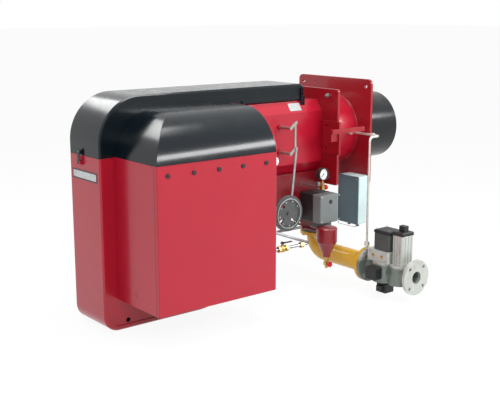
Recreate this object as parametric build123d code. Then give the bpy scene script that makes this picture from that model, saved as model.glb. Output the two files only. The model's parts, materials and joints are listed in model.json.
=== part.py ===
from build123d import *
from math import atan2, cos, degrees, hypot, radians, sin
import os

os.makedirs("parts", exist_ok=True)

# An industrial gas burner. X is the flame direction and Z is up. The origin is the centre of
# the mounting flange's boiler face, on the flame axis. All sizes are millimetres.

fit = 0.05
seam = 1.0
gasket = 2.0

# mounting flange and combustion head
flange_size = 580.0
flange_thick = 15.0
flange_round = 28.0
flange_bolt_edge = 40.0
flange_bolts = flange_size - 2 * flange_bolt_edge
flange_hole = 20.0
flame_radius = 190.0
flame_wall = 4.0
flame_reach = 310.0
blast_radius = 197.0
blast_wall = 5.0
blast_length = 232.0
head_plate_thick = 15.0
head_plate_top = 249.0
head_plate_bottom = -263.0
head_plate_hole = 158.0
gas_pipe_radius = 45.0
diffuser_radius = 150.0
diffuser_x = 175.0
diffuser_thick = 4.0
diffuser_slots = 16
nozzle_count = 8
nozzle_radius = 9.0
nozzle_reach = 140.0

# air duct between the fan casing and the head
duct_half = 170.0
duct_top = 188.0
duct_bottom = -200.0
duct_shoulder = 130.0
duct_haunch = -140.0
duct_top_half = 130.0
duct_bottom_half = 110.0
duct_wall = 4.0

# fan casing and its top cover
casing_half = 140.0
casing_rear = -1607.0
casing_front = -760.0
casing_bottom = -830.0
casing_top = 278.0
casing_wall = 4.0
casing_rim = 22.0
casing_recess = 6.0
rear_top_round = 220.0
rear_bottom_round = 80.0
front_bottom_round = 300.0
cover_front = -366.0
cover_floor = 190.0
cover_seam_z = 0.0
seam_rise_start = -1100.0
seam_rise_end = -820.0
hinge_offset = 14.0
hinge_pin = 5.0

# fan, motor and air inlet
fan_x = -1190.0
fan_z = -330.0
fan_radius = 290.0
fan_eye = 200.0
fan_back = -90.0
fan_front = 60.0
blade_count = 20
blade_thick = 3.0
shaft_radius = 19.0
motor_radius = 112.0
motor_length = 235.0
motor_flange_radius = 150.0
motor_flange_thick = 14.0
motor_fins = 24
inlet_radius = 185.0
inlet_lip = 170.0

# side hood over the motor
hood_left = -1530.0
hood_right = -852.0
hood_front = -490.0
hood_bottom = -675.0
hood_split = 4.0
hood_wall = 3.0
lid_top = 205.0
lid_run = 300.0
lid_bulge = 0.66

# regulation gear
servo_x = -310.5
servo_z = -382.0
servo_length = 129.0
servo_depth = 164.0
servo_height = 155.0
servo_front = -290.0
bracket_thick = 6.0
cam_x = -596.0
cam_z = -368.0
cam_radius = 94.0
cam_thick = 8.0
cam_face = -282.0
crank_reach = 45.0
crank_thick = 5.0
rod_half = 6.0
pin_radius = 4.0
damper_x = -560.0
damper_gap = 66.0
damper_half = 60.0
damper_thick = 3.0
spindle_radius = 8.0
damper_crank_y = -258.0

# gas line
gas_x = -131.0
train_z = -690.0
flange65_radius = 92.5
flange65_thick = 18.0
bolt_circle65 = 145.0
bolt_hole65 = 18.0
line_hole = 17.0
bore65 = 65.0
butterfly_top = -517.0
butterfly_thick = 60.0
butterfly_radius = 85.0
elbow_radius = 54.0
elbow_wall = 5.0
elbow_bend = 85.0
elbow_face = -415.0
valve_length = 340.0
valve_half = 60.0

# small fittings
gauge_x = -361.0
gauge_z = -188.0
gauge_radius = 33.0
gauge_face = -300.0
tube_radius = 5.0
filter_x = -326.0
filter_y = -290.0
filter_radius = 56.0
box_left = -100.0
box_front = -300.0
box_width = 155.0
box_top = -235.0
box_height = 265.0
pilot_y = -290.0
pilot_z = -548.0


def block(x0, x1, y0, y1, z0, z1):
    return Pos((x0 + x1) / 2, (y0 + y1) / 2, (z0 + z1) / 2) * Box(abs(x1 - x0), abs(y1 - y0),
        abs(z1 - z0))


def bar_x(x0, x1, y, z, radius):
    return Pos((x0 + x1) / 2, y, z) * Rot(0, 90, 0) * Cylinder(radius, abs(x1 - x0))


def bar_y(x, y0, y1, z, radius):
    return Pos(x, (y0 + y1) / 2, z) * Rot(90, 0, 0) * Cylinder(radius, abs(y1 - y0))


def bar_z(x, y, z0, z1, radius):
    return Pos(x, y, (z0 + z1) / 2) * Cylinder(radius, abs(z1 - z0))


def facing_x(x, y=0, z=0):
    return Plane(origin=(x, y, z), x_dir=(0, 1, 0), z_dir=(1, 0, 0))


def facing_y(y, x=0, z=0):
    return Plane(origin=(x, y, z), x_dir=(1, 0, 0), z_dir=(0, -1, 0))


def side_slab(face, y0, y1):
    return extrude(facing_y(y1) * face, abs(y1 - y0))


def turned(points):
    return make_face(Polyline(*points, close=True))


def polar(radius, angle):
    return (radius * cos(radians(angle)), radius * sin(radians(angle)))


def save(shape, name):
    shape.label = name
    export_step(shape, "parts/" + name + ".step")


def group(solids):
    return Compound(children=list(solids))


# ---- combustion head ----

flange_rear = -flange_thick
plate_front = flange_rear - blast_length
plate_rear = plate_front - head_plate_thick
flame_inner = flame_radius - flame_wall


def make_mounting_flange():
    face = RectangleRounded(flange_size, flange_size, flange_round)
    face -= Circle(flame_radius + fit)
    face -= GridLocations(flange_bolts, flange_bolts, 2, 2) * Circle(flange_hole / 2)
    face -= Locations((flange_bolts * 0.3, flange_bolts / 2),
        (-flange_bolts * 0.3, -flange_bolts / 2)) * Circle(7)
    return extrude(facing_x(flange_rear) * face, flange_thick)


def make_blast_tube():
    tube = extrude(facing_x(plate_front) * (Circle(blast_radius) - Circle(blast_radius - blast_wall)), blast_length)
    tube -= bar_z(gas_x, 0, -blast_radius - 5, -100, gas_pipe_radius + 0.5)
    return tube


def make_flame_tube():
    start = plate_front + 7
    body = extrude(facing_x(start) * (Circle(flame_radius) - Circle(flame_inner)), flame_reach - start)
    lip = extrude(facing_x(flame_reach - 6) * (Circle(flame_inner + 1) - Circle(flame_inner - 10)), 6)
    body -= bar_z(gas_x, 0, -flame_radius - 5, -100, gas_pipe_radius + 0.5)
    return body + lip


def make_head_plate():
    middle = (head_plate_top + head_plate_bottom) / 2
    height = head_plate_top - head_plate_bottom
    face = Pos(0, middle) * RectangleRounded(flange_size, height, 12)
    face -= Circle(head_plate_hole)
    return extrude(facing_x(plate_rear) * face, head_plate_thick)


def head_bolt_places():
    rows = (head_plate_bottom + 35, 0, head_plate_top - 35)
    places = [(side * (flange_size / 2 - 75), z) for side in (-1, 1) for z in rows]
    return [place for place in places if place[0] > 0 or place[1] != 0]


def make_head_bolts():
    bolts = []
    for y, z in head_bolt_places():
        head = extrude(facing_x(plate_rear - 10, y, z) * RegularPolygon(13, 6), 10)
        bolts.append(head + bar_x(plate_rear - 20, plate_rear - 10, y, z, 7))
    return group(bolts)


def make_gas_distributor():
    pipe = bar_x(gas_x - gas_pipe_radius - 10, diffuser_x - 12, 0, 0, gas_pipe_radius)
    riser = bar_z(gas_x, 0, butterfly_top + gasket, 0, gas_pipe_radius)
    foot = bar_z(gas_x, 0, butterfly_top + gasket, butterfly_top + gasket + flange65_thick,
        flange65_radius)
    body = pipe + riser + foot
    for index in range(nozzle_count):
        arm = Rot(360 * index / nozzle_count, 0, 0) * bar_z(diffuser_x - 45, 0, 30, nozzle_reach,
            nozzle_radius)
        body += arm
    bore = bar_z(gas_x, 0, butterfly_top, -30, bore65 / 2)
    bore += bar_x(gas_x - 30, diffuser_x - 30, 0, 0, bore65 / 2)
    for index in range(4):
        y, x = polar(bolt_circle65 / 2, 45 + 90 * index)
        bore += bar_z(gas_x + x, y, butterfly_top, butterfly_top + 40, line_hole / 2)
    return body - bore


def make_diffuser():
    face = Circle(diffuser_radius) - Circle(26)
    slot = Pos(94, 0) * Rectangle(76, 7)
    for index in range(diffuser_slots):
        face -= Rot(0, 0, 360 * index / diffuser_slots) * slot
    disc = extrude(facing_x(diffuser_x) * face, diffuser_thick)
    rim = extrude(facing_x(diffuser_x - 14) * (Circle(diffuser_radius) - Circle(diffuser_radius - 4)), 16)
    hub = extrude(facing_x(diffuser_x - 12) * (Circle(34) - Circle(26)), 13)
    for index in range(nozzle_count // 2):
        hub += Rot(90 * index + 11.25, 0, 0) * block(diffuser_x - 8, diffuser_x, -4, 4, 30,
            diffuser_radius - 2)
    body = disc + rim + hub
    for turn in electrode_lines():
        body -= turn * bar_x(diffuser_x - 20, diffuser_x + 10, 0, 92, 7)
    return body


def make_spider():
    ring = extrude(facing_x(40) * (Circle(gas_pipe_radius + 12) - Circle(gas_pipe_radius + fit)), 14)
    for index in range(3):
        leg = Rot(120 * index + 22.5, 0, 0) * block(42, 52, -2.5, 2.5, gas_pipe_radius + 8,
            flame_inner - 0.2)
        ring += leg
    return ring


def electrode_lines():
    return [Rot(angle, 0, 0) for angle in (60, 75, 240)]


def make_electrodes():
    rods = []
    for turn in electrode_lines():
        rod = bar_x(102, diffuser_x + 26, 0, 92, 2.5)
        tip = Pos(diffuser_x + 26, 0, 84) * Cylinder(2.5, 21)
        rods.append(turn * (rod + tip))
    return group(rods)


def make_insulators():
    bodies = []
    for turn in electrode_lines():
        body = bar_x(20, 102, 0, 92, 8) + bar_x(70, 82, 0, 92, 11)
        bodies.append(turn * body)
    return group(bodies)


def make_electrode_clamps():
    clamps = []
    for turn in electrode_lines():
        stem = block(84, 92, -4, 4, gas_pipe_radius + 0.2, 85)
        eye = bar_x(84, 92, 0, 92, 13)
        clamps.append(turn * (stem + eye - bar_x(80, 96, 0, 92, 8 + fit)))
    return group(clamps)


# ---- air duct ----


def duct_outline(inset):
    half = duct_half - inset
    top = duct_top - inset
    bottom = duct_bottom + inset
    lean = inset * 0.6
    return turned(
        [
            (-half, duct_haunch + lean),
            (-half, duct_shoulder - lean),
            (-duct_top_half + lean, top),
            (duct_top_half - lean, top),
            (half, duct_shoulder - lean),
            (half, duct_haunch + lean),
            (duct_bottom_half - lean, bottom),
            (-duct_bottom_half + lean, bottom),
        ]
    )


def make_duct():
    length = plate_rear - casing_front
    shell = extrude(facing_x(casing_front) * duct_outline(0), length)
    shell -= extrude(facing_x(casing_front + duct_wall) * duct_outline(duct_wall), length)
    shell -= block(casing_front - 1, casing_front + 10, -120, 120, duct_bottom + 20, duct_top - 20)
    for z in (-damper_gap, damper_gap):
        shell -= bar_y(damper_x, -duct_half - 1, duct_half + 1, z, spindle_radius + fit)
        bush = facing_y(-duct_half, damper_x, z) * (Circle(16) - Circle(spindle_radius + fit))
        shell += extrude(bush, 12)
    return shell


def shoulder_tilt():
    return degrees(atan2(duct_top - duct_shoulder, duct_half - duct_top_half))


def make_rating_plate():
    middle_y = -(duct_half + duct_top_half) / 2
    middle_z = (duct_top + duct_shoulder) / 2
    plate = Box(80, 46, 1.2)
    seat = Pos(hinge_x - 62, middle_y, middle_z) * Rot(shoulder_tilt(), 0, 0) * Pos(0, 0, 0.6)
    return seat * plate


# ---- fan casing, cover and latch ----


def casing_outline(inset=0.0):
    corners = [
        (casing_rear, casing_bottom),
        (casing_front, casing_bottom),
        (casing_front, cover_floor),
        (cover_front, cover_floor),
        (cover_front, casing_top),
        (casing_rear, casing_top),
    ]
    face = turned(corners)
    radii = [rear_bottom_round, front_bottom_round, 0, hinge_offset, 30, rear_top_round]
    for corner, radius in zip(corners, radii):
        if radius:
            spot = face.vertices().sort_by_distance((corner[0], corner[1], 0))[0]
            face = fillet(spot, radius)
    if inset:
        face = offset(face, -inset, kind=Kind.INTERSECTION)
    return face


def split_line(shift):
    return [
        (casing_rear - 50, cover_seam_z + shift),
        (seam_rise_start, cover_seam_z + shift),
        (seam_rise_end, cover_floor - seam + shift),
        (cover_front + 50, cover_floor - seam + shift),
    ]


def region(shift, far_z):
    points = split_line(shift)
    return side_slab(turned(points + [(cover_front + 50, far_z), (casing_rear - 50, far_z)]), -200, 200)


def make_casing_shell():
    body = side_slab(casing_outline(), -casing_half, casing_half)
    outer_edges = body.faces().filter_by(Axis.Y).edges()
    body = chamfer(outer_edges, 7)
    panel = casing_outline(casing_rim)
    body -= side_slab(panel, -casing_half - 5, -casing_half + casing_recess)
    body -= side_slab(panel, casing_half - casing_recess, casing_half + 5)
    inner_half = casing_half - casing_recess - casing_wall
    body -= side_slab(casing_outline(casing_wall), -inner_half, inner_half)
    return body


panel_y = casing_half - casing_recess
hinge_x = cover_front - hinge_offset
hinge_z = cover_floor + hinge_offset


def make_casing(shell):
    casing = shell & region(-seam / 2, casing_bottom - 50)
    casing -= block(casing_front - 10, casing_front + 1, -120, 120, duct_bottom + 20, duct_top - 20)
    casing -= bar_y(fan_x, -casing_half - 5, -100, fan_z, shaft_radius + 12)
    casing -= bar_y(fan_x, 100, casing_half + 5, fan_z, inlet_radius + 8)
    casing -= bar_y(casing_rear + 130, -casing_half - 5, -120, casing_bottom + 40, 12)
    return casing


def make_cover(shell):
    cover = shell & region(seam / 2, casing_top + 50)
    cover -= bar_y(hinge_x, -casing_half - 5, casing_half + 5, hinge_z, hinge_pin + fit)
    return cover


def make_cover_hinge():
    cheeks = []
    for side in (-1, 1):
        inner = casing_half + 1.0
        outer = inner + 5
        low = duct_top - (outer - duct_top_half) * (duct_top - duct_shoulder) / (duct_half - duct_top_half)
        half = hinge_pin + 8
        face = turned([(hinge_x - half, low), (hinge_x + half, low), (hinge_x + half, hinge_z + 10),
            (hinge_x - half, hinge_z + 10)])
        cheek = side_slab(face, min(side * inner, side * outer), max(side * inner, side * outer))
        foot_shift = extrude(facing_x(hinge_x - 25) * duct_outline(0), 50)
        pin_end = side * (casing_half - casing_recess - casing_wall)
        cheeks.append(cheek - foot_shift + bar_y(hinge_x, min(pin_end, side * inner),
            max(pin_end, side * inner), hinge_z, hinge_pin))
    return group(cheeks)


latch_y = 32.0
latch_pivot_x = casing_rear - 9
latch_pivot_z = cover_seam_z - 34


def make_latch_base():
    base = block(casing_rear - 4, casing_rear, latch_y - 15, latch_y + 15, latch_pivot_z - 12,
        cover_seam_z - 6)
    for side in (-1, 1):
        ear = block(casing_rear - 14, casing_rear - 2, latch_y + side * 13 - 2,
            latch_y + side * 13 + 2, latch_pivot_z - 8, latch_pivot_z + 8)
        base += ear
    base += bar_y(latch_pivot_x, latch_y - 13, latch_y + 13, latch_pivot_z, 2.5)
    return base


def make_latch_lever():
    grip = block(casing_rear - 14, casing_rear - 11, latch_y - 10, latch_y + 10, latch_pivot_z,
        cover_seam_z + 30)
    knuckle = bar_y(latch_pivot_x, latch_y - 10, latch_y + 10, latch_pivot_z, 4.8)
    lever = grip + knuckle - bar_y(latch_pivot_x, latch_y - 20, latch_y + 20, latch_pivot_z, 2.5 + fit)
    return fillet(lever.edges().filter_by(Axis.X).group_by(Axis.Z)[-1], 6)


def make_latch_hook():
    hook = block(casing_rear - 4, casing_rear, latch_y - 12, latch_y + 12, cover_seam_z + 6,
        cover_seam_z + 24)
    hook += block(casing_rear - 10, casing_rear - 4, latch_y - 7, latch_y + 7, cover_seam_z + 10,
        cover_seam_z + 16)
    return hook


def make_name_plate():
    face = Pos(0, -92) * RectangleRounded(225, 44, 5)
    return extrude(facing_x(casing_rear - 2) * face, 2)


# ---- fan, scroll, motor and inlet ----


def make_fan_wheel():
    wheel = bar_y(fan_x, fan_back, fan_back + 4, fan_z, fan_radius)
    hub = bar_y(fan_x, fan_back - 30, fan_back + 50, fan_z, shaft_radius + 20)
    cone = Pos(fan_x, fan_back + 4 + 30, fan_z) * Rot(-90, 0, 0) * Cone(110, shaft_radius + 21, 60)
    ring = facing_y(fan_front + 3, fan_x, fan_z) * (Circle(fan_radius) - Circle(fan_eye))
    wheel = wheel + hub + cone + extrude(ring, 3)
    line = ThreePointArc(polar(fan_eye + 4, 0), polar(246, -12), polar(fan_radius - 2, -32))
    blade = trace(line, blade_thick)
    for index in range(blade_count):
        wheel += extrude(facing_y(fan_front + 1, fan_x, fan_z) * Rot(0, 0,
            360 * index / blade_count) * blade, fan_front - fan_back)
    return wheel - bar_y(fan_x, fan_back - 40, fan_back + 60, fan_z, shaft_radius + fit)


def spiral_point(angle):
    radius = fan_radius + 22 + (20 - angle) * 0.30
    u, v = polar(radius, angle)
    return (fan_x + u, fan_z + v)


def make_scroll():
    first = ThreePointArc(spiral_point(20), spiral_point(-27), spiral_point(-75))
    second = ThreePointArc(spiral_point(-75), spiral_point(-122), spiral_point(-170))
    third = ThreePointArc(spiral_point(-170), spiral_point(-217), spiral_point(-265))
    roof = Line(spiral_point(-265), (casing_front - casing_wall - 3, duct_top - 24))
    strip = trace(Curve() + [first, second, third, roof], 3)
    inner_half = casing_half - casing_recess - casing_wall - 0.5
    return side_slab(strip, -inner_half, inner_half)


motor_end = -panel_y - motor_flange_thick
cowl_front = motor_end - motor_length


def make_motor_body():
    body = bar_y(fan_x, cowl_front, motor_end, fan_z, motor_radius)
    body += bar_y(fan_x, motor_end, -panel_y, fan_z, motor_flange_radius)
    fin = block(-1.5, 1.5, cowl_front + 20, motor_end - 12, motor_radius - 3, motor_radius + 11)
    for index in range(motor_fins):
        angle = 360 * index / motor_fins
        if 30 < angle < 150 or angle > 165 or angle < 15:
            body += Pos(fan_x, 0, fan_z) * Rot(0, angle, 0) * fin
    body += block(fan_x - 60, fan_x + 60, motor_end - 160, motor_end - 40,
        fan_z + motor_radius - 15, fan_z + motor_radius + 14)
    return body - bar_y(fan_x, cowl_front - 5, -100, fan_z, shaft_radius + 4)


def make_motor_cowl():
    cowl = bar_y(fan_x, cowl_front - 62, cowl_front + 18, fan_z, motor_radius + 15)
    cowl -= bar_y(fan_x, cowl_front - 59, cowl_front + 20, fan_z, motor_radius + 12)
    slot = block(fan_x + 30, fan_x + 90, cowl_front - 70, cowl_front - 50, fan_z - 4, fan_z + 4)
    for index in range(12):
        cowl -= Pos(fan_x, 0, fan_z) * Rot(0, 30 * index, 0) * Pos(-fan_x, 0, -fan_z) * slot
    spacer = facing_y(cowl_front + 17, fan_x,
        fan_z) * (Circle(motor_radius + 12.5) - Circle(motor_radius + fit))
    return cowl + extrude(spacer, 8)


def make_terminal_box():
    floor = fan_z + motor_radius + 14
    box = block(fan_x - 58, fan_x + 58, motor_end - 158, motor_end - 42, floor, floor + 55)
    lid = block(fan_x - 62, fan_x + 62, motor_end - 162, motor_end - 38, floor + 55, floor + 63)
    return box + lid


def make_rotor_shaft():
    shaft = bar_y(fan_x, cowl_front - 40, fan_back + 52, fan_z, shaft_radius)
    shaft += bar_y(fan_x, cowl_front - 44, cowl_front - 14, fan_z, 30)
    vane = block(-2, 2, cowl_front - 44, cowl_front - 14, 25, motor_radius - 12)
    for index in range(8):
        shaft += Pos(fan_x, 0, fan_z) * Rot(0, 45 * index, 0) * vane
    return shaft


def make_inlet_cone():
    inner_eye = fan_eye - 10
    profile = [
        (inner_eye - 8, fan_front + 8),
        (inner_eye - 12, fan_front + 8),
        (inlet_radius - 14, panel_y - 18),
        (inlet_radius, panel_y + 6),
        (inlet_radius + 40, panel_y + 6),
        (inlet_radius + 40, panel_y),
        (inlet_radius + 4, panel_y),
        (inlet_radius - 10, panel_y - 18),
    ]
    face = make_face(Polyline(*[(fan_x + r, y) for r, y in profile], close=True))
    cone = revolve(face, Axis((fan_x, 0, 0), (0, 1, 0)))
    return Pos(0, 0, fan_z) * cone


def make_inlet_guard():
    y = panel_y + 6
    guard = extrude(facing_y(y + 6, fan_x,
        fan_z) * (Circle(inlet_radius + 16) - Circle(inlet_radius + 4)), 6)
    for radius in (45, 90, 135):
        guard += extrude(facing_y(y + 6, fan_x,
            fan_z) * (Circle(radius + 2.5) - Circle(radius - 2.5)), 4)
    for index in range(4):
        guard += Pos(fan_x, 0, fan_z) * Rot(0, 45 * index, 0) * block(-inlet_radius - 6,
            inlet_radius + 6, y + 2, y + 6, -2.5, 2.5)
    return guard


# ---- side hood ----


def lid_profile(start, run, inset):
    base = (start + inset, hood_split)
    top = (start + run, lid_top - inset)
    middle = (start + inset + (run - inset) * 0.23,
        hood_split + (lid_top - inset - hood_split) * lid_bulge)
    return base, middle, top


def lid_form(inset):
    back = -panel_y - seam / 2
    base, middle, top = lid_profile(hood_front, lid_run, inset)
    arc = ThreePointArc(base, middle, top)
    face = make_face(Curve() + [arc, Polyline(top, (back, top[1]), (back, hood_split), base)])
    across = extrude(facing_x(hood_left) * face, hood_right - hood_left)
    base, middle, top = lid_profile(hood_left, lid_run, inset)
    arc = ThreePointArc(base, middle, top)
    face = make_face(Curve() + [arc, Polyline(top, (hood_right, top[1]), (hood_right, hood_split),
        base)])
    along = side_slab(face, hood_front, back)
    below_top = block(hood_left - 1, hood_right + 1, hood_front - 1, back + 1,
        hood_split - 1, lid_top - inset)
    return across & along & below_top


def make_hood():
    back = -panel_y - seam / 2
    hood = block(hood_left, hood_right, hood_front, back, hood_bottom, hood_split)
    hood = fillet(hood.edges().filter_by(Axis.Z).group_by(Axis.Y)[0], 6)
    hood -= block(hood_left + hood_wall, hood_right - hood_wall, hood_front + hood_wall, back + 5,
        hood_bottom + hood_wall, hood_split + 5)
    end_wall = lid_form(0) & block(hood_right - hood_wall, hood_right + 1, hood_front - 1, 0,
        hood_split, lid_top + 1)
    hood += end_wall
    for x in screw_places():
        hood -= bar_y(x, hood_front - 1, hood_front + 10, hood_split - 45, 4.2)
    return hood


def make_lid():
    lid = lid_form(0) - lid_form(hood_wall)
    keep = block(hood_left - 1, hood_right - hood_wall - seam / 2, hood_front - 1, 0,
        hood_split + 0.5, lid_top + 1)
    return lid & keep


def screw_places():
    pitch = (hood_right - hood_left - 125) / 4
    return [hood_left + 58 + pitch * index for index in range(5)]


def make_hood_screws():
    screws = []
    for x in screw_places():
        head = bar_y(x, hood_front - 4, hood_front, hood_split - 45, 11)
        screws.append(head + bar_y(x, hood_front, hood_front + 14, hood_split - 45, 4))
    return group(screws)


# ---- regulation gear ----

bracket_y = servo_front + servo_depth
crank_a_y = bracket_y + bracket_thick + 2
rod_a_y = crank_a_y + crank_thick + 0.5
rod_b_y = rod_a_y + crank_thick + 1
crank_b_y = rod_b_y + crank_thick + 0.5
butterfly_z = butterfly_top - butterfly_thick / 2


def line_angle(start, end):
    return degrees(atan2(end[1] - start[1], end[0] - start[0]))


cam_axis = (cam_x, cam_z)
servo_axis = (servo_x, servo_z)
damper_axis = (damper_x, -damper_gap)
upper_axis = (damper_x, damper_gap)
butterfly_axis = (gas_x, butterfly_z)
servo_angle = line_angle(cam_axis, servo_axis) + 90 + 45
air_angle = line_angle(cam_axis, damper_axis) - 90 + 45
gas_angle = line_angle(cam_axis, butterfly_axis) - 90 + 45


def crank_pin(axis, angle):
    u, v = polar(crank_reach, angle)
    return (axis[0] + u, axis[1] + v)


def strap(start, end, half):
    length = hypot(end[0] - start[0], end[1] - start[1])
    middle = Pos((start[0] + end[0]) / 2, (start[1] + end[1]) / 2)
    return middle * Rot(0, 0, line_angle(start, end)) * SlotCenterToCenter(length, 2 * half)


def make_crank(axis, angle, y):
    pin = crank_pin(axis, angle)
    arm = side_slab(strap(axis, pin, rod_half + 2), y, y + crank_thick)
    return arm, pin


def make_rod(start, end, y):
    rod = side_slab(strap(start, end, rod_half), y, y + crank_thick)
    for point in (start, end):
        rod -= bar_y(point[0], y - 1, y + crank_thick + 1, point[1], pin_radius + fit)
    return rod


def make_cam():
    web = Circle(cam_radius) - Circle(spindle_radius - 2)
    window = Pos(58, 0) * SlotOverall(40, 14)
    for index in range(3):
        web -= Rot(0, 0, air_angle + 90 + 90 * index) * window
    disc = extrude(facing_y(cam_face + cam_thick, cam_x, cam_z) * web, cam_thick)
    rim = facing_y(cam_face, cam_x, cam_z) * (Circle(cam_radius) - Circle(cam_radius - 12))
    disc += extrude(rim, 4)
    shaft = bar_y(cam_x, cam_face - 8, crank_b_y + crank_thick, cam_z, spindle_radius)
    disc += shaft
    air_pin = crank_pin(cam_axis, air_angle)
    disc += bar_y(air_pin[0], cam_face + 2, damper_crank_y - 0.5, air_pin[1], pin_radius)
    arm, pin = make_crank(cam_axis, servo_angle, crank_a_y)
    disc += arm + bar_y(pin[0], crank_a_y, rod_a_y + crank_thick + 0.4, pin[1], pin_radius)
    arm, pin = make_crank(cam_axis, gas_angle, crank_b_y)
    disc += arm + bar_y(pin[0], rod_b_y - 0.4, crank_b_y + 1, pin[1], pin_radius)
    for index in range(10):
        u, v = polar(cam_radius - 6, air_angle + 60 + 22 * index)
        disc += bar_y(cam_x + u, cam_face - 5, cam_face + 1, cam_z + v, 4)
    return disc


def make_servo_crank():
    arm, pin = make_crank(servo_axis, servo_angle, crank_a_y)
    arm += bar_y(servo_x, bracket_y + 0.2, crank_a_y + crank_thick, servo_z, spindle_radius + 2)
    return arm + bar_y(pin[0], crank_a_y, rod_a_y + crank_thick + 0.4, pin[1], pin_radius)


def make_butterfly():
    disc = Pos(gas_x, 0, butterfly_z) * Cylinder(bore65 / 2 - 0.3, 3)
    disc += bar_y(gas_x, crank_b_y, bore65 / 2 + 20, butterfly_z, spindle_radius - 1)
    arm, pin = make_crank(butterfly_axis, gas_angle, crank_b_y)
    return disc + arm + bar_y(pin[0], rod_b_y - 0.4, crank_b_y + 1, pin[1], pin_radius)


def make_damper(axis, lower):
    blade_width = duct_half - duct_wall - 6
    blade = block(damper_x - damper_thick / 2, damper_x + damper_thick / 2, -blade_width,
        blade_width, axis[1] - damper_half, axis[1] + damper_half)
    blade += bar_y(damper_x, damper_crank_y, duct_half + 6, axis[1], spindle_radius)
    arm, pin = make_crank(axis, air_angle, damper_crank_y)
    near = damper_crank_y - crank_thick - 1 if lower else damper_crank_y
    return blade + arm + bar_y(pin[0], near, damper_crank_y + 2 * crank_thick + 1, pin[1], pin_radius)


def make_regulator_bracket():
    plate = turned(
        [
            (cam_x - 45, duct_bottom - 6),
            (plate_rear - 2, duct_bottom - 6),
            (plate_rear - 2, head_plate_bottom - 12),
            (servo_x + 64, head_plate_bottom - 12),
            (servo_x + 64, servo_z - servo_height / 2),
            (filter_x + 25, servo_z - servo_height / 2 - 60),
            (filter_x - 25, servo_z - servo_height / 2 - 60),
            (servo_x - 64, servo_z - servo_height / 2),
            (servo_x - 130, cam_z - 50),
            (cam_x - 45, cam_z - 50),
        ]
    )
    bracket = side_slab(plate, bracket_y, bracket_y + bracket_thick)
    bracket += block(cam_x - 45, plate_rear - 2, bracket_y, -duct_bottom_half + 30, duct_bottom - 6,
        duct_bottom)
    arm_z = servo_z - servo_height / 2 - 50
    bracket += block(filter_x - 18, filter_x + 18, filter_y + filter_radius - 8, bracket_y,
        arm_z - 6, arm_z)
    bracket += bar_y(cam_x, bracket_y - 40, bracket_y, cam_z, spindle_radius + 10)
    bracket -= bar_y(cam_x, bracket_y - 50, bracket_y + 20, cam_z, spindle_radius + fit)
    bracket -= bar_y(servo_x, bracket_y - 1, bracket_y + 20, servo_z, spindle_radius + 3)
    bracket -= bar_y(gauge_x, bracket_y - 1, bracket_y + 20, gauge_pipe_z, tube_radius + 2)
    bracket -= bar_z(filter_x, filter_y, arm_z - 20, arm_z + 10, filter_radius + fit)
    return bracket


def make_servo():
    x0 = servo_x - servo_length / 2
    x1 = servo_x + servo_length / 2
    z0 = servo_z - servo_height / 2
    z1 = servo_z + servo_height / 2
    split = servo_front + 62
    base = block(x0, x1, split, bracket_y, z0, z1)
    base = fillet(base.edges().filter_by(Axis.Y), 8)
    cover = block(x0, x1, servo_front, split - 0.6, z0, z1)
    cover = fillet(cover.edges().filter_by(Axis.Y), 8)
    cover = fillet(cover.faces().sort_by(Axis.Y)[0].edges(), 5)
    gland = bar_x(x1, x1 + 18, (servo_front + split) / 2, servo_z, 11)
    return base, cover + gland


# ---- gas line ----


def flange_bores(radius=line_hole / 2):
    spots = [polar(bolt_circle65 / 2, 45 + 90 * index) for index in range(4)]
    return Sketch() + [Pos(u, v) * Circle(radius) for u, v in spots]


def make_butterfly_body():
    body = Pos(gas_x, 0, butterfly_z) * Cylinder(butterfly_radius, butterfly_thick)
    body += bar_y(gas_x, -flange65_radius + 2, 0, butterfly_z, 18)
    body += bar_y(gas_x, 0, flange65_radius - 2, butterfly_z, 18)
    body -= bar_z(gas_x, 0, butterfly_top + 1, butterfly_top - butterfly_thick - 1, bore65 / 2)
    body -= bar_y(gas_x, -flange65_radius - 5, bore65 / 2 + 22, butterfly_z, spindle_radius - 1 + fit)
    body -= extrude(Pos(gas_x, 0, butterfly_top - butterfly_thick - 1) * flange_bores(),
        butterfly_thick + 2)
    return body


elbow_top = butterfly_top - butterfly_thick - gasket


def make_elbow():
    start = (gas_x, 0, elbow_top - flange65_thick + 2)
    corner_z = train_z + elbow_bend
    path = Line(start, (gas_x, 0, corner_z))
    centre = (gas_x, -elbow_bend, corner_z)
    low = (gas_x, -elbow_bend, train_z)
    middle = (gas_x, centre[1] + elbow_bend * cos(radians(45)),
        centre[2] - elbow_bend * sin(radians(45)))
    bend = ThreePointArc((gas_x, 0, corner_z), middle, low)
    run = Line(low, (gas_x, elbow_face + flange65_thick - 2, train_z))
    route = Curve() + [path, bend, run]
    outer = sweep(Plane(origin=start, z_dir=(0, 0, -1)) * Circle(elbow_radius), path=route)
    inner = sweep(Plane(origin=start, z_dir=(0, 0, -1)) * Circle(elbow_radius - elbow_wall), path=route)
    top_flange = bar_z(gas_x, 0, elbow_top - flange65_thick, elbow_top, flange65_radius)
    end_flange = bar_y(gas_x, elbow_face, elbow_face + flange65_thick, train_z, flange65_radius)
    body = outer + top_flange + end_flange - inner
    body -= bar_z(gas_x, 0, elbow_top - flange65_thick - 1, elbow_top + 1, bore65 / 2)
    body -= bar_y(gas_x, elbow_face - 1, elbow_face + flange65_thick + 1, train_z, bore65 / 2)
    body -= extrude(Pos(gas_x, 0, elbow_top - flange65_thick - 1) * flange_bores(), flange65_thick + 2)
    body -= extrude(facing_y(elbow_face + flange65_thick + 1, gas_x, train_z) * flange_bores(),
        flange65_thick + 2)
    return body


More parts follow.
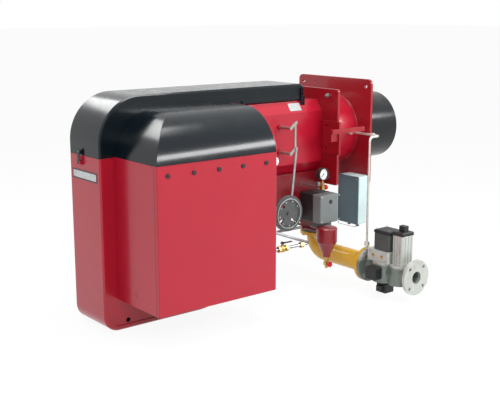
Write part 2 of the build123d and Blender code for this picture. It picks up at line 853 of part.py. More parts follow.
def make_gaskets():
    face = Circle(62) - Circle(bore65 / 2 + 1)
    upper = extrude(Pos(gas_x, 0, butterfly_top) * face, gasket)
    lower = extrude(Pos(gas_x, 0, elbow_top) * face, gasket)
    side = extrude(facing_y(elbow_face, gas_x, train_z) * face, gasket)
    return group([upper, lower, side])


def make_line_bolts():
    bolts = []
    top = butterfly_top + gasket + flange65_thick
    bottom = elbow_top - flange65_thick
    for index in range(4):
        u, v = polar(bolt_circle65 / 2, 45 + 90 * index)
        head = extrude(Pos(gas_x + u, v, top) * RegularPolygon(13, 6), 10)
        nut = extrude(Pos(gas_x + u, v, bottom - 13) * RegularPolygon(13, 6), 13)
        bolts.append(head + nut + bar_z(gas_x + u, v, bottom - 18, top, 8))
        near = facing_y(valve_start - flange65_thick, gas_x + u, train_z + v)
        far = elbow_face + flange65_thick
        head = extrude(near * RegularPolygon(13, 6), 10)
        nut = extrude(facing_y(far + 13, gas_x + u, train_z + v) * RegularPolygon(13, 6), 13)
        bolts.append(head + nut + bar_y(gas_x + u, valve_start - flange65_thick, far + 18,
            train_z + v, 8))
    return group(bolts)


valve_start = elbow_face - gasket
valve_end = valve_start - valve_length


def make_valve_body():
    inlet = facing_y(valve_start, gas_x, train_z) * (Circle(flange65_radius) - flange_bores())
    outlet = facing_y(valve_end + flange65_thick, gas_x, train_z)
    outlet = outlet * (Circle(flange65_radius) - flange_bores(bolt_hole65 / 2))
    body = extrude(inlet, flange65_thick) + extrude(outlet, flange65_thick)
    body += bar_y(gas_x, valve_end + 4, valve_start - 4, train_z, 46)
    body += Pos(gas_x, valve_start - 120, train_z - 8) * Cylinder(68, 110)
    body += Pos(gas_x, valve_start - 222, train_z - 8) * Cylinder(54, 110)
    body += block(gas_x - 42, gas_x + 42, valve_start - 276, valve_start - 202, valve_deck - 20,
        valve_deck)
    body -= bar_y(gas_x, valve_end - 1, valve_end + 90, train_z, bore65 / 2)
    body -= bar_y(gas_x, valve_start - 60, valve_start + 1, train_z, bore65 / 2)
    return body


valve_deck = train_z - 8 + 55


def make_valve_block():
    block_body = block(gas_x - 58, gas_x + 58, valve_start - 195, valve_start - 42, valve_deck,
        valve_deck + 62)
    block_body = fillet(block_body.edges().filter_by(Axis.Z), 8)
    return block_body - extrude(facing_y(valve_start + 5, gas_x,
        train_z) * Circle(flange65_radius + 1), 10)


def make_actuator_one():
    z0 = valve_deck + 62
    body = block(gas_x - 50, gas_x + 50, valve_start - 190, valve_start - 80, z0, z0 + 92)
    body = fillet(body.edges().filter_by(Axis.Z), 10)
    return body


def make_actuator_two():
    body = block(gas_x - 42, gas_x + 42, valve_start - 276, valve_start - 202, valve_deck,
        valve_deck + 160)
    return fillet(body.edges().filter_by(Axis.Z), 12)


def make_actuator_caps():
    z0 = valve_deck + 62 + 92
    first = block(gas_x - 50, gas_x + 50, valve_start - 190, valve_start - 80, z0, z0 + 16)
    first = chamfer(first.faces().sort_by(Axis.Z)[-1].edges(), 5)
    z1 = valve_deck + 160
    second = block(gas_x - 42, gas_x + 42, valve_start - 276, valve_start - 202, z1, z1 + 20)
    second = chamfer(second.faces().sort_by(Axis.Z)[-1].edges(), 5)
    plug = block(gas_x - 16, gas_x + 16, valve_start - 264, valve_start - 222, z1 + 20, z1 + 50)
    plug = fillet(plug.edges().filter_by(Axis.Z), 5)
    return group([first, second + plug])


def make_gas_switch():
    x1 = gas_x - 66
    body = block(x1 - 46, x1 + 1, valve_start - 158, valve_start - 84, train_z - 40, train_z + 26)
    body = fillet(body.edges().filter_by(Axis.X), 8)
    return body - Pos(gas_x, valve_start - 120, train_z - 8) * Cylinder(68, 200)


def make_lower_switch():
    z1 = train_z - 8 - 55
    body = block(gas_x - 34, gas_x + 34, valve_start - 160, valve_start - 92, z1 - 62, z1 - 12)
    body = fillet(body.edges().filter_by(Axis.Z), 8)
    return body + bar_z(gas_x, valve_start - 126, z1 - 14, z1, 17) + block(gas_x - 52, gas_x - 30,
        valve_start - 144, valve_start - 108, z1 - 54, z1 - 22)


# ---- gauge, filter, pilot line, impulse line and junction box ----

gauge_pipe_z = gauge_z - gauge_radius - 41
gauge_axis_y = gauge_face + 15


def bent_tube(points, radius, tube):
    route = FilletPolyline(*points, radius=radius)
    profile = Plane(origin=points[0], z_dir=route % 0) * Circle(tube)
    return sweep(profile, path=route)


def make_gauge_case():
    case = bar_y(gauge_x, gauge_face, gauge_face + 28, gauge_z, gauge_radius)
    case -= bar_y(gauge_x, gauge_face - 1, gauge_face + 10, gauge_z, gauge_radius - 4)
    return case


def make_gauge_dial():
    dial = bar_y(gauge_x, gauge_face + 8, gauge_face + 10, gauge_z, gauge_radius - 4 - fit)
    return dial + bar_y(gauge_x, gauge_face + 3, gauge_face + 8, gauge_z, 1.2)


def make_gauge_needle():
    y = gauge_face + 4
    needle = block(gauge_x - 1.2, gauge_x + 1.2, y, y + 1.5, gauge_z - 7, gauge_z + 22)
    needle += bar_y(gauge_x, y, y + 1.5, gauge_z, 4)
    needle -= bar_y(gauge_x, y - 1, y + 3, gauge_z, 1.2 + fit)
    return Pos(gauge_x, 0, gauge_z) * Rot(0, -135, 0) * Pos(-gauge_x, 0, -gauge_z) * needle


def make_gauge_cock():
    y = gauge_axis_y
    body = bar_z(gauge_x, y, gauge_pipe_z - 10, gauge_z - gauge_radius + 0.5, 6)
    body += extrude(Pos(gauge_x, y, gauge_pipe_z + 12) * RegularPolygon(11, 6), 16)
    body += block(gauge_x - 10, gauge_x + 10, y - 10, y + 10, gauge_pipe_z - 10, gauge_pipe_z + 10)
    body += bar_y(gauge_x, y + 10, y + 20, gauge_pipe_z, 8)
    body += bar_x(gauge_x + 10, gauge_x + 20, y, gauge_pipe_z, 5)
    body -= bar_z(gauge_x, y, gauge_z - gauge_radius - 1, gauge_z - gauge_radius + 2, 7)
    return body - bar_y(gauge_x, y + 12, y + 22, gauge_pipe_z, tube_radius + fit)


def make_gauge_handle():
    x = gauge_x + 20.5
    knob = bar_x(x, x + 12, gauge_axis_y, gauge_pipe_z, 13)
    return knob + bar_x(x + 12, x + 17, gauge_axis_y, gauge_pipe_z, 7)


def make_gauge_pipe():
    points = [(gauge_x, gauge_axis_y + 12, gauge_pipe_z), (gauge_x, -60, gauge_pipe_z),
        (gauge_x, -60, duct_bottom)]
    return bent_tube(points, 20, tube_radius)


def make_filter():
    top = servo_z - servo_height / 2 - 20
    profile = [
        (0, top),
        (filter_radius - 6, top),
        (filter_radius, top - 6),
        (filter_radius, top - 80),
        (filter_radius - 10, top - 95),
        (20, top - 150),
        (20, top - 165),
        (0, top - 165),
    ]
    face = make_face(Polyline(*[(filter_x + r, 0, z) for r, z in profile], close=True))
    body = revolve(face, Axis((filter_x, 0, 0), (0, 0, 1)))
    return Pos(0, filter_y, 0) * body


filter_end = servo_z - servo_height / 2 - 20 - 165


def make_drain_valve():
    body = bar_z(filter_x, filter_y, filter_end - 22, filter_end, 13)
    body += bar_z(filter_x, filter_y, filter_end - 62, filter_end - 22, 8)
    body += block(filter_x - 11, filter_x + 11, filter_y - 11, filter_y + 11, filter_end - 48,
        filter_end - 28)
    body += bar_y(filter_x, filter_y - 20, filter_y - 10, filter_end - 38, 5)
    return body - bar_z(filter_x, filter_y, filter_end - 63, filter_end - 50, 5)


def make_drain_knob():
    y = filter_y - 20.5
    knob = bar_y(filter_x, y - 12, y, filter_end - 38, 15)
    for index in range(6):
        u, v = polar(15, 60 * index)
        knob -= bar_y(filter_x + u, y - 13, y + 1, filter_end - 38 + v, 3)
    return knob


pilot_cock_x = -640.0


def make_pilot_pipes():
    inner_x = -450.0
    end = gas_x - butterfly_radius + 4
    feed = bent_tube([(pilot_cock_x + 30, pilot_y, pilot_z), (inner_x, pilot_y, pilot_z),
        (inner_x, 0, pilot_z), (end, 0, pilot_z)], 30, 8)
    trim = Pos(gas_x, 0, butterfly_z) * Cylinder(butterfly_radius, butterfly_thick + 20)
    drop = bent_tube([(pilot_cock_x - 30, pilot_y, pilot_z), (pilot_cock_x - 70, pilot_y, pilot_z),
        (pilot_cock_x - 70, pilot_y, pilot_z - 120)], 25, 8)
    return [feed - trim, drop]


def make_pilot_cock():
    body = bar_x(pilot_cock_x - 32, pilot_cock_x + 32, pilot_y, pilot_z, 13)
    for side in (-1, 1):
        body += extrude(facing_x(pilot_cock_x + side * 25 - 6, pilot_y,
            pilot_z) * RegularPolygon(17, 6), 12)
    body += Pos(pilot_cock_x, pilot_y, pilot_z) * Sphere(19)
    body += bar_z(pilot_cock_x, pilot_y, pilot_z, pilot_z + 28, 7)
    for side in (-1, 1):
        body -= bar_x(pilot_cock_x + side * 30, pilot_cock_x + side * 40, pilot_y, pilot_z, 8 + fit)
    cap = bar_z(pilot_cock_x - 70, pilot_y, pilot_z - 146, pilot_z - 120, 13)
    tee = extrude(facing_x(-520, pilot_y, pilot_z) * (RegularPolygon(15, 6) - Circle(8 + fit)), 22)
    return [body, cap, tee]


def make_pilot_lever():
    z = pilot_z + 28.3
    lever = block(pilot_cock_x - 8, pilot_cock_x + 62, pilot_y - 7, pilot_y + 7, z, z + 4)
    lever += bar_z(pilot_cock_x, pilot_y, z, z + 8, 10)
    return lever


def make_impulse_tube():
    x0 = -85.0
    y1 = elbow_face - 14
    x1 = gas_x - 30
    z0 = 5.0
    start_y = -blast_radius - 18
    end_z = train_z + flange65_radius - 2
    tube = bent_tube([(x0, start_y, z0), (x0, y1, z0), (x1, y1, z0), (x1, y1, end_z)], 24, 6)
    return tube - bar_y(gas_x, valve_start - 30, valve_start + 5, train_z, flange65_radius)


def make_impulse_fittings():
    x0 = -85.0
    x1 = gas_x - 30
    y1 = elbow_face - 14
    boss = bar_y(x0, -blast_radius - 22, -blast_radius + 4, 5, 14)
    boss -= bar_x(x0 - 40, x0 + 40, 0, 0, blast_radius)
    boss -= bar_y(x0, -blast_radius - 30, -blast_radius - 18, 5, 6 + fit)
    nut_z = train_z + flange65_radius + 16
    nut = extrude(Pos(x1, y1, nut_z) * (RegularPolygon(14, 6) - Circle(6 + fit)), 22)
    collar = extrude(facing_y(y1 + 60, x0, 5) * (RegularPolygon(12, 6) - Circle(6 + fit)), 18)
    return [boss, nut, collar]


def make_slide_bracket():
    y0 = -flange_size / 2
    bracket = block(plate_rear - 12, plate_rear, y0 - 26, y0 + 100, -93, 82)
    bracket += block(plate_rear - 60, flange_rear - 68, y0 - 26, y0 - 2, 20, 44)
    bracket += block(plate_rear - 60, plate_rear - 12, y0 - 17, y0 - 11, -20, 20)
    for z in (-65, 55):
        bracket -= bar_x(plate_rear - 20, plate_rear + 1, y0 + 75, z, 7.5)
    return bracket


def make_box():
    x1 = flange_rear
    y1 = box_front + box_width
    z0 = box_top - box_height
    box = block(box_left, x1, box_front, y1, z0, box_top)
    box = fillet(box.edges().filter_by(Axis.X), 6)
    lid = block(box_left - 5, box_left, box_front - 1, y1 + 1, z0 - 1, box_top + 1)
    lid = fillet(lid.edges().filter_by(Axis.X), 7)
    screws = []
    for y in (box_front + 14, y1 - 14):
        for z in (z0 + 14, box_top - 14):
            screws.append(bar_x(box_left - 8, box_left - 5, y, z, 6))
    glands = []
    for y in (box_front + 45, box_front + 110):
        gland = extrude(Pos((box_left + x1) / 2, y, z0 - 10) * RegularPolygon(13, 6), 10)
        glands.append(gland + bar_z((box_left + x1) / 2, y, z0 - 22, z0 - 10, 9))
    return box, lid, group(screws + glands)


def make_air_switch():
    x = -640.0
    z = -100.0
    y1 = -duct_half
    body = bar_y(x, y1 - 26, y1, z, 30)
    cap = bar_y(x, y1 - 62, y1 - 26.5, z, 24)
    cap = fillet(cap.faces().sort_by(Axis.Y)[0].edges(), 6)
    body += block(x - 12, x + 12, y1 - 22, y1 - 2, z - 44, z - 20)
    return body, cap


# ---- build and write every piece ----

casing_shell = make_casing_shell()
servo_base, servo_cover = make_servo()
junction_box, junction_lid, junction_fittings = make_box()
air_switch, air_switch_cap = make_air_switch()

pieces = {
    "mounting_flange": make_mounting_flange(),
    "blast_tube": make_blast_tube(),
    "flame_tube": make_flame_tube(),
    "head_plate": make_head_plate() + make_slide_bracket(),
    "head_bolts": make_head_bolts(),
    "gas_distributor": make_gas_distributor() + make_spider(),
    "diffuser_disc": make_diffuser(),
    "electrode_rods": make_electrodes(),
    "electrode_insulators": make_insulators(),
    "electrode_clamps": make_electrode_clamps(),
    "air_duct": make_duct(),
    "fan_casing": make_casing(casing_shell) + make_latch_base(),
    "top_cover": make_cover(casing_shell) + make_latch_hook(),
    "cover_hinge": make_cover_hinge(),
    "latch_lever": make_latch_lever(),
    "blank_plates": group([make_name_plate(), make_rating_plate()]),
    "fan_wheel": make_fan_wheel(),
    "fan_scroll": make_scroll(),
    "motor_body": make_motor_body() + make_terminal_box(),
    "motor_cowl": make_motor_cowl(),
    "rotor_shaft": make_rotor_shaft(),
    "air_inlet": group([make_inlet_cone(), make_inlet_guard()]),
    "side_hood": make_hood(),
    "hood_lid": make_lid(),
    "hood_screws": make_hood_screws(),
    "cam_disc": make_cam(),
    "servo_crank": make_servo_crank(),
    "servo_rod": make_rod(crank_pin(cam_axis, servo_angle), crank_pin(servo_axis, servo_angle),
        rod_a_y),
    "air_rod": make_rod(crank_pin(cam_axis, air_angle), crank_pin(damper_axis, air_angle),
        damper_crank_y - crank_thick - 0.5),
    "gas_rod": make_rod(crank_pin(cam_axis, gas_angle), crank_pin(butterfly_axis, gas_angle), rod_b_y),
    "damper_link": make_rod(crank_pin(damper_axis, air_angle), crank_pin(upper_axis, air_angle),
        damper_crank_y + crank_thick + 0.5),
    "damper_lower": make_damper(damper_axis, True),
    "damper_upper": make_damper(upper_axis, False),
    "gas_butterfly": make_butterfly(),
    "regulator_bracket": make_regulator_bracket(),
    "servo_base": servo_base,
    "servo_cover": servo_cover,
    "butterfly_body": make_butterfly_body(),
    "gas_elbow": make_elbow(),
    "gas_gaskets": make_gaskets(),
    "gas_line_bolts": make_line_bolts(),
    "valve_body": make_valve_body(),
    "actuator_one": make_actuator_one(),
    "valve_blocks": group([make_valve_block(), make_actuator_two()]),
    "actuator_caps": make_actuator_caps(),
    "gas_switches": group([make_gas_switch(), make_lower_switch()]),
    "gauge_case": make_gauge_case(),
    "gauge_dial": make_gauge_dial(),
    "gauge_needle": make_gauge_needle(),
    "gauge_handle": make_gauge_handle(),
    "pilot_filter": make_filter(),
    "drain_knob": make_drain_knob(),
    "service_pipes": group([make_gauge_pipe()] + make_pilot_pipes()),
    "service_cocks": group([make_gauge_cock(), make_drain_valve()] + make_pilot_cock()),
    "pilot_lever": make_pilot_lever(),
    "impulse_line": group([make_impulse_tube()] + make_impulse_fittings()),
    "junction_box": junction_box,
    "junction_lid": group([junction_lid, junction_fittings]),
    "air_switch": air_switch,
    "air_switch_cap": air_switch_cap,
}

for piece_name, piece in pieces.items():
    save(piece, piece_name)
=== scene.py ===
import json
import math
import bpy
import bmesh
from mathutils import Matrix, Vector, noise

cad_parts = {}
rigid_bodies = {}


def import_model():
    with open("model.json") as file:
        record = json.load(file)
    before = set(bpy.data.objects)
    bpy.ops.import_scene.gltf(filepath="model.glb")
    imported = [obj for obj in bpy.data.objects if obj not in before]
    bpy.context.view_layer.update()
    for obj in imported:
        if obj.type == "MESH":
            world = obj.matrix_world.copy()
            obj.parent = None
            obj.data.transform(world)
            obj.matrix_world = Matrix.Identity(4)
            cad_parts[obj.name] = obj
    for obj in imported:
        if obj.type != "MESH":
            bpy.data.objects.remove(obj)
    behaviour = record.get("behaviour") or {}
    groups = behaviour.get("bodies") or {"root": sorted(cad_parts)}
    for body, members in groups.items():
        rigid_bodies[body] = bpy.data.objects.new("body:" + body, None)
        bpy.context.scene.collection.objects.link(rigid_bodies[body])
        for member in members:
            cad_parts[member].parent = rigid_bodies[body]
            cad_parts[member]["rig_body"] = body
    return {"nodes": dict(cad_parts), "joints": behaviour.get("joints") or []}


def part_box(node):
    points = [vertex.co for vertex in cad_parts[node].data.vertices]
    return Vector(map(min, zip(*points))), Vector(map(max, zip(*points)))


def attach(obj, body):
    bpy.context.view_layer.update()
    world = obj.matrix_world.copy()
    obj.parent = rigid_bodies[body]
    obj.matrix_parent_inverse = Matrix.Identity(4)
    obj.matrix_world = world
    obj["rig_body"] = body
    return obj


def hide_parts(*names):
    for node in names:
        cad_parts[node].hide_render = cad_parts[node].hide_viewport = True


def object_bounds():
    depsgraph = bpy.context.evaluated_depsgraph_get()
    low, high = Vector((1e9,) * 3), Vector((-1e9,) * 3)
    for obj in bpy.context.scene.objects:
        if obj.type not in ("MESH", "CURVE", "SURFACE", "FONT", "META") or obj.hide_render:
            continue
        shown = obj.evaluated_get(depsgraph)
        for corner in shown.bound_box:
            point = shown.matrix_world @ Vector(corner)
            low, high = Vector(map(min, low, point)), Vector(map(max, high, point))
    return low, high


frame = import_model()
cadNodes = frame["nodes"]
cadBounds = [[float(v) for v in corner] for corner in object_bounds()]
print("frame loaded:", len(cadNodes), "nodes")


# shader maths: an expression on wrapped sockets adds its own Math nodes
class Channel:
    def __init__(self, nodes, link):
        self.nodes = nodes
        self.link = link

    def join(self, kind, first, second):
        return self.nodes.node("ShaderNodeMath", {"operation": kind}, [first, second])

    def __add__(self, other):
        return self.join("ADD", self, other)

    def __radd__(self, other):
        return self.join("ADD", other, self)

    def __sub__(self, other):
        return self.join("SUBTRACT", self, other)

    def __rsub__(self, other):
        return self.join("SUBTRACT", other, self)

    def __mul__(self, other):
        return self.join("MULTIPLY", self, other)

    def __rmul__(self, other):
        return self.join("MULTIPLY", other, self)

    def __lt__(self, other):
        return self.join("LESS_THAN", self, other)

    def __gt__(self, other):  # what Python asks for when a number stands before the <
        return self.join("GREATER_THAN", self, other)


class Nodes:  # the node tree of a material or of the world
    def __init__(self, owner):
        owner.use_nodes = True
        self.tree = owner.node_tree

    def node(self, kind, settings, values, output=0):
        made = self.tree.nodes.new(kind)
        for key, value in settings.items():
            setattr(made, key, value)
        pairs = values.items() if isinstance(values, dict) else enumerate(values)
        for key, value in pairs:
            self.feed(made.inputs[key], value)
        return Channel(self, made.outputs[output])

    def feed(self, socket, value):
        if isinstance(value, Channel):
            self.tree.links.new(value.link, socket)
        else:
            socket.default_value = value

    def spread(self, value, low, high, bottom=0.0, top=1.0):
        values = {"Value": value, "From Min": low, "From Max": high,
                  "To Min": bottom, "To Max": top}
        return self.node("ShaderNodeMapRange", {}, values)


class Finish(Nodes):
    sockets = {"colour": "Base Color", "roughness": "Roughness", "metallic": "Metallic",
               "coat": "Coat Weight", "coatRoughness": "Coat Roughness",
               "shine": "Specular IOR Level"}

    def __init__(self, name):
        self.material = bpy.data.materials.new(name)
        super().__init__(self.material)
        self.shader = self.tree.nodes["Principled BSDF"]
        self.coords = self.node("ShaderNodeTexCoord", {}, [], "Object")

    def place(self, stretch=(1, 1, 1)):
        return self.node("ShaderNodeMapping", {}, {"Vector": self.coords, "Scale": stretch})

    def axis(self, letter):  # the piece's own X, Y or Z in metres
        return self.node("ShaderNodeSeparateXYZ", {}, [self.coords], letter)

    def facingUp(self):
        normal = self.node("ShaderNodeNewGeometry", {}, [], "Normal")
        return self.node("ShaderNodeSeparateXYZ", {}, [normal], "Z")

    def cloud(self, scale, detail=4.0, rough=0.55, stretch=(1, 1, 1)):
        values = {"Vector": self.place(stretch), "Scale": scale,
                  "Detail": detail, "Roughness": rough}
        return self.node("ShaderNodeTexNoise", {}, values)

    def cells(self, scale):
        return self.node("ShaderNodeTexVoronoi", {}, {"Vector": self.place(), "Scale": scale})

    def blendColour(self, mask, first, second):
        return self.node("ShaderNodeMix", {"data_type": "RGBA"}, {0: mask, 6: first, 7: second}, 2)

    def relief(self, height, strength, distance):
        values = {"Height": height, "Strength": strength, "Distance": distance}
        self.feed(self.shader.inputs["Normal"], self.node("ShaderNodeBump", {}, values))

    def put(self, **values):
        for key, value in values.items():
            self.feed(self.shader.inputs[self.sockets[key]], value)


def colour(red, green, blue):  # a colour as it is seen, 0 to 255, made linear
    parts = [c / 255 for c in (red, green, blue)]
    return tuple(c / 12.92 if c <= 0.04045 else ((c + 0.055) / 1.055) ** 2.4
                 for c in parts) + (1.0,)


def darker(tone, share):
    return tuple(c * share for c in tone[:3]) + (1.0,)


# wear and grain of each kind of surface; a pattern is its scale, detail and roughness
paintWear = dict(drift=(2.2, 3.0), driftRange=(0.3, 0.7), driftShade=0.9, upRange=(0.55, 1.0),
                 dust=(28.0, 6.0), dustRange=(0.42, 0.75), dustTone=colour(205, 190, 182),
                 dustRoughness=0.15, scuff=(90.0, 8.0, 0.7, (1, 1, 0.25)),
                 scuffRange=(0.66, 0.74), mottle=11.0, mottleRoughness=0.1, peelDetail=2.0,
                 peelDistance=0.002)


def stovePaint(name, look):
    finish = Finish(name)
    drift = finish.spread(finish.cloud(*paintWear["drift"]), *paintWear["driftRange"])
    body = finish.blendColour(drift, darker(look["tone"], paintWear["driftShade"]), look["tone"])
    flatTop = finish.spread(finish.facingUp(), *paintWear["upRange"])
    dust = flatTop * finish.spread(finish.cloud(*paintWear["dust"]), *paintWear["dustRange"])
    dusty = finish.blendColour(dust * look["dust"], body, paintWear["dustTone"])
    scuff = finish.spread(finish.cloud(*paintWear["scuff"]), *paintWear["scuffRange"])
    worn = finish.blendColour(scuff * look["scuff"], dusty, look["under"])
    mottle = finish.cloud(paintWear["mottle"]) * paintWear["mottleRoughness"]
    finish.put(colour=worn,
               roughness=look["roughness"] + dust * paintWear["dustRoughness"] + mottle)
    finish.put(coat=look["coat"], coatRoughness=look["coatRough"], shine=look["shine"])
    peel = finish.cloud(look["peel"], paintWear["peelDetail"])
    finish.relief(peel, look["peelDepth"], paintWear["peelDistance"])
    return finish.material


plasticWear = dict(drift=(6.0, 4.0), driftRange=(0.3, 0.7), driftShade=0.86,
                   rub=(60.0, 7.0, 0.65), rubRange=(0.6, 0.78), rubShine=0.06,
                   mottle=35.0, mottleRoughness=0.12, cellShare=0.6, cloudShare=0.4,
                   cloudFiner=1.7, cloudDetail=3.0, distance=0.0006)


def mouldedPlastic(name, look):
    finish = Finish(name)
    drift = finish.spread(finish.cloud(*plasticWear["drift"]), *plasticWear["driftRange"])
    body = finish.blendColour(drift, darker(look["tone"], plasticWear["driftShade"]),
                              look["tone"])
    if "spot" in look:  # a small round paint mark at a place on the piece
        along, up, radius = look["spot"]
        y = finish.axis("Y") - along
        z = finish.axis("Z") - up
        body = finish.blendColour(y * y + z * z < radius * radius, body, look["spotTone"])
    rub = finish.spread(finish.cloud(*plasticWear["rub"]), *plasticWear["rubRange"])
    finish.put(colour=finish.blendColour(rub * look["rub"], body, look["rubTone"]))
    mottle = finish.cloud(plasticWear["mottle"]) * plasticWear["mottleRoughness"]
    finish.put(roughness=look["roughness"] + mottle - rub * plasticWear["rubShine"])
    fine = finish.cloud(look["grain"] * plasticWear["cloudFiner"], plasticWear["cloudDetail"])
    grain = finish.cells(look["grain"]) * plasticWear["cellShare"]
    finish.relief(grain + fine * plasticWear["cloudShare"], look["depth"],
                  plasticWear["distance"])
    return finish.material


metalWear = dict(streakDetail=5.0, streakRough=0.6, patchRange=(0.0, 0.7), streakShare=0.6,
                 patchShare=0.4, stain=(16.0, 7.0, 0.65), stainRange=(0.56, 0.74),
                 streakRoughness=0.14, stainRoughness=0.12, stainDulls=0.5, distance=0.0008)


def bareMetal(name, look):
    finish = Finish(name)
    streak = finish.cloud(look["streak"], metalWear["streakDetail"], metalWear["streakRough"],
                          look["stretch"])
    patch = finish.spread(finish.cells(look["patch"]), *metalWear["patchRange"])
    mix = streak * metalWear["streakShare"] + patch * metalWear["patchShare"]
    body = finish.blendColour(mix, look["shade"], look["tone"])
    stain = finish.spread(finish.cloud(*metalWear["stain"]), *metalWear["stainRange"])
    finish.put(colour=finish.blendColour(stain * look["stain"], body, look["stainTone"]))
    finish.put(roughness=look["roughness"] + streak * metalWear["streakRoughness"]
               + stain * metalWear["stainRoughness"])
    finish.put(metallic=look["metallic"] - stain * look["stain"] * metalWear["stainDulls"])
    finish.relief(streak + patch * look["patchRelief"], look["depth"], metalWear["distance"])
    return finish.material


castWear = dict(coarser=0.35, lumpDetail=6.0, lumpRough=0.65, lumpRange=(0.35, 0.65),
                lumpShade=0.82, lowZoneHeight=(-0.648, -0.662), lowZoneAlong=(-0.742, -0.737),
                lowZoneShare=0.85, grime=(9.0, 6.0, 0.6), grimeRange=(0.52, 0.8),
                lumpRoughness=0.18, pitShare=0.5, distance=0.001)


def castMetal(name, look):
    finish = Finish(name)
    pits = finish.cells(look["grain"])
    lumps = finish.cloud(look["grain"] * castWear["coarser"], castWear["lumpDetail"],
                         castWear["lumpRough"])
    body = finish.blendColour(finish.spread(lumps, *castWear["lumpRange"]),
                              darker(look["tone"], castWear["lumpShade"]), look["tone"])
    if look["low"]:  # the valve body is given a darker colour below the deck's height, except at the end flange
        lowZone = finish.spread(finish.axis("Z"), *castWear["lowZoneHeight"])
        lowZone = lowZone * finish.spread(finish.axis("Y"), *castWear["lowZoneAlong"])
        body = finish.blendColour(lowZone * castWear["lowZoneShare"], body, look["low"])
    grime = finish.spread(finish.cloud(*castWear["grime"]), *castWear["grimeRange"])
    finish.put(colour=finish.blendColour(grime * look["grime"], body, look["grimeTone"]))
    finish.put(roughness=look["roughness"] + lumps * castWear["lumpRoughness"])
    finish.put(metallic=look["metallic"])
    finish.relief(pits * castWear["pitShare"] + lumps, look["depth"], castWear["distance"])
    return finish.material


redPaint = dict(tone=colour(160, 4, 34), under=colour(112, 8, 22), dust=0.05, scuff=0.3,
                roughness=0.28, coat=0.35, coatRough=0.12, peel=260.0, peelDepth=0.10, shine=0.4)
blackPaint = dict(tone=colour(12, 16, 20), under=colour(50, 52, 56), dust=0.05, scuff=0.15,
                  roughness=0.2, coat=0.1, coatRough=0.15, peel=300.0, peelDepth=0.06, shine=0.3)
glossBlack = dict(tone=colour(6, 16, 22), under=colour(24, 34, 40), dust=0.0, scuff=0.06,
                  roughness=0.13, coat=0.1, coatRough=0.1, peel=90.0, peelDepth=0.008, shine=0.3)
plasticBase = dict(tone=colour(26, 27, 29), rub=0.25, rubTone=colour(60, 62, 65),
                   roughness=0.42, grain=1500.0, depth=0.2)
steelBase = dict(tone=colour(196, 199, 201), shade=colour(120, 124, 128), streak=120.0,
                 stretch=(1, 1, 9), patch=60.0, stain=0.25, stainTone=colour(92, 84, 76),
                 roughness=0.24, metallic=0.95, patchRelief=0.1, depth=0.12)
castBase = dict(tone=colour(190, 194, 188), grain=520.0, grime=0.35,
                grimeTone=colour(110, 112, 104), roughness=0.42, metallic=0.5, depth=0.3,
                low=None)

